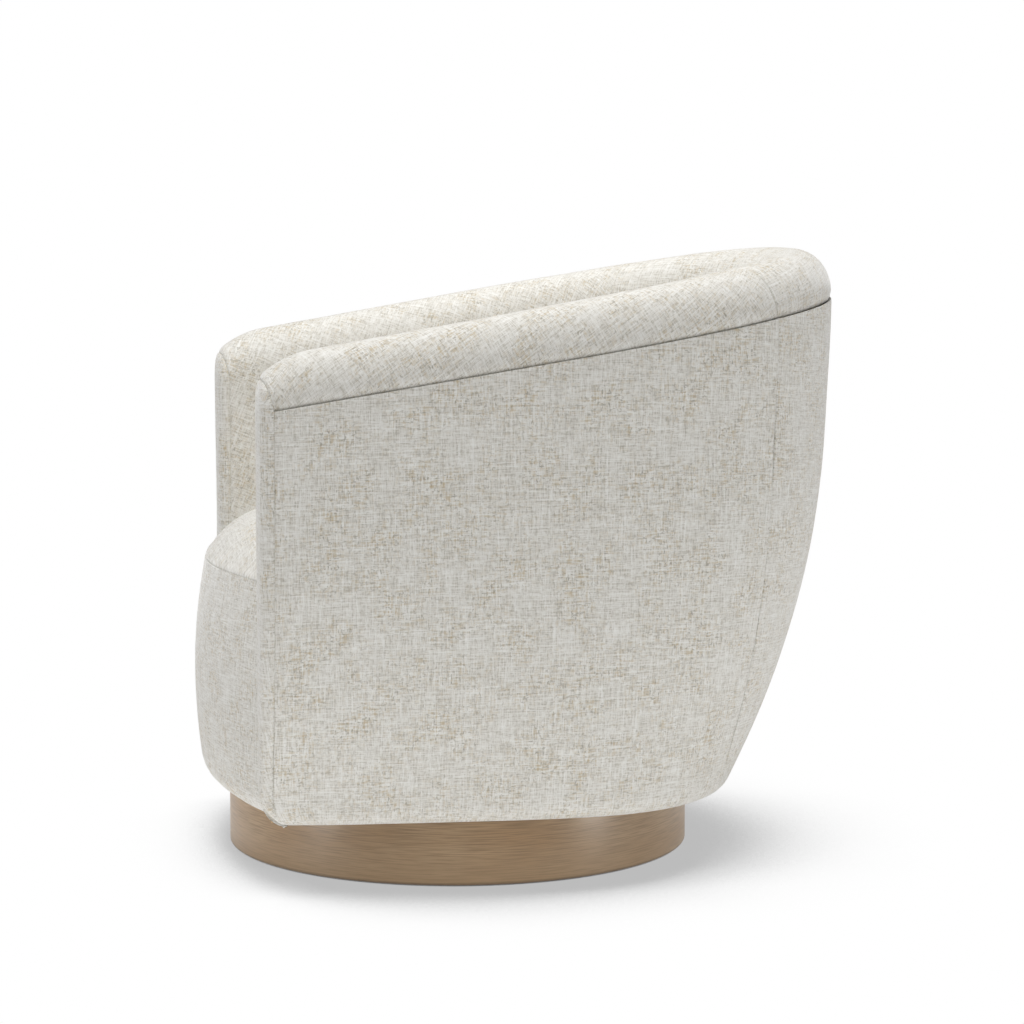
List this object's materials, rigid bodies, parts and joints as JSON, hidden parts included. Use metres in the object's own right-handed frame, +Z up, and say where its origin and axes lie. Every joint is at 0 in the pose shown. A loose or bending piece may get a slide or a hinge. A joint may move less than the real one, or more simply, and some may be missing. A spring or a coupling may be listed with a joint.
{
  "type": "swivel barrel chair",
  "caption": "Upholstered barrel chair: a tight domed seat inside a curved wall that makes both arms and the back, turning on a ball-race swivel over a round wooden plinth.",
  "frame": {"origin": "middle of the chair's footprint, on the floor", "axes": "+Z up; the sitter faces -Y, and their left hand is on the +X side; the swivel axis is vertical, at X = 0 and Y = -0.0655"},
  "size_m": [0.795, 0.782, 0.7358],
  "materials": {
    "fabric": "matte",
    "foam": "matte",
    "dust_cloth": "matte",
    "plinth_wood": "satin",
    "frame_wood": "matte",
    "steel": "satin",
    "zinc": "satin",
    "nylon": "matte"
  },
  "bodies": {
    "base": {"plinth_ring": "plinth_wood", "plinth_top_board": "frame_wood", "plinth_block_1": "frame_wood", "plinth_block_2": "frame_wood", "plinth_block_3": "frame_wood", "plinth_block_4": "frame_wood", "glide_1": "nylon", "glide_2": "nylon", "glide_3": "nylon", "glide_4": "nylon", "swivel_lower_plate": "steel", "swivel_centre_rivet": "steel", "lower_plate_screw_1": "zinc", "lower_plate_screw_2": "zinc", "lower_plate_screw_3": "zinc", "lower_plate_screw_4": "zinc"},
    "ball_cage": {"swivel_ball_cage": "steel"},
    "seat_shell": {"swivel_upper_plate": "steel", "upper_plate_bolt_1": "zinc", "upper_plate_bolt_2": "zinc", "upper_plate_bolt_3": "zinc", "upper_plate_bolt_4": "zinc", "bottom_board": "frame_wood", "dust_cover": "dust_cloth", "front_post_left": "frame_wood", "front_post_right": "frame_wood", "side_post_left": "frame_wood", "side_post_right": "frame_wood", "back_post_left": "frame_wood", "back_post_right": "frame_wood", "arm_rail_left": "frame_wood", "arm_rail_right": "frame_wood", "back_rail": "frame_wood", "front_rail": "frame_wood", "seat_rail_left": "frame_wood", "seat_rail_right": "frame_wood", "seat_rail_back": "frame_wood", "seat_spring_1": "steel", "seat_spring_2": "steel", "seat_spring_3": "steel", "seat_spring_4": "steel", "seat_spring_5": "steel", "spring_pad": "foam", "seat_foam": "foam", "seat_front_foam": "foam", "arm_foam_left": "foam", "arm_foam_right": "foam", "back_foam": "foam", "seat_cover": "fabric", "seat_front_cover": "fabric", "inside_arm_cover_left": "fabric", "inside_arm_cover_right": "fabric", "inside_back_cover": "fabric", "outside_arm_cover_left": "fabric", "outside_arm_cover_right": "fabric", "outside_back_cover": "fabric", "arm_front_facing_left": "fabric", "arm_front_facing_right": "fabric"}
  },
  "joints": [
    {"name": "swivel", "type": "hinge", "parent": "base", "child": "seat_shell", "pos_m": [0, -0.06553, 0.0829], "axis": [0, 0, 1], "continuous": true},
    {"name": "ball_cage_spin", "type": "hinge", "parent": "base", "child": "ball_cage", "pos_m": [0, -0.06553, 0.0829], "axis": [0, 0, 1], "continuous": true}
  ],
  "couplings": [
    {"joint": "ball_cage_spin", "follows": "swivel", "ratio": 0.5}
  ]
}
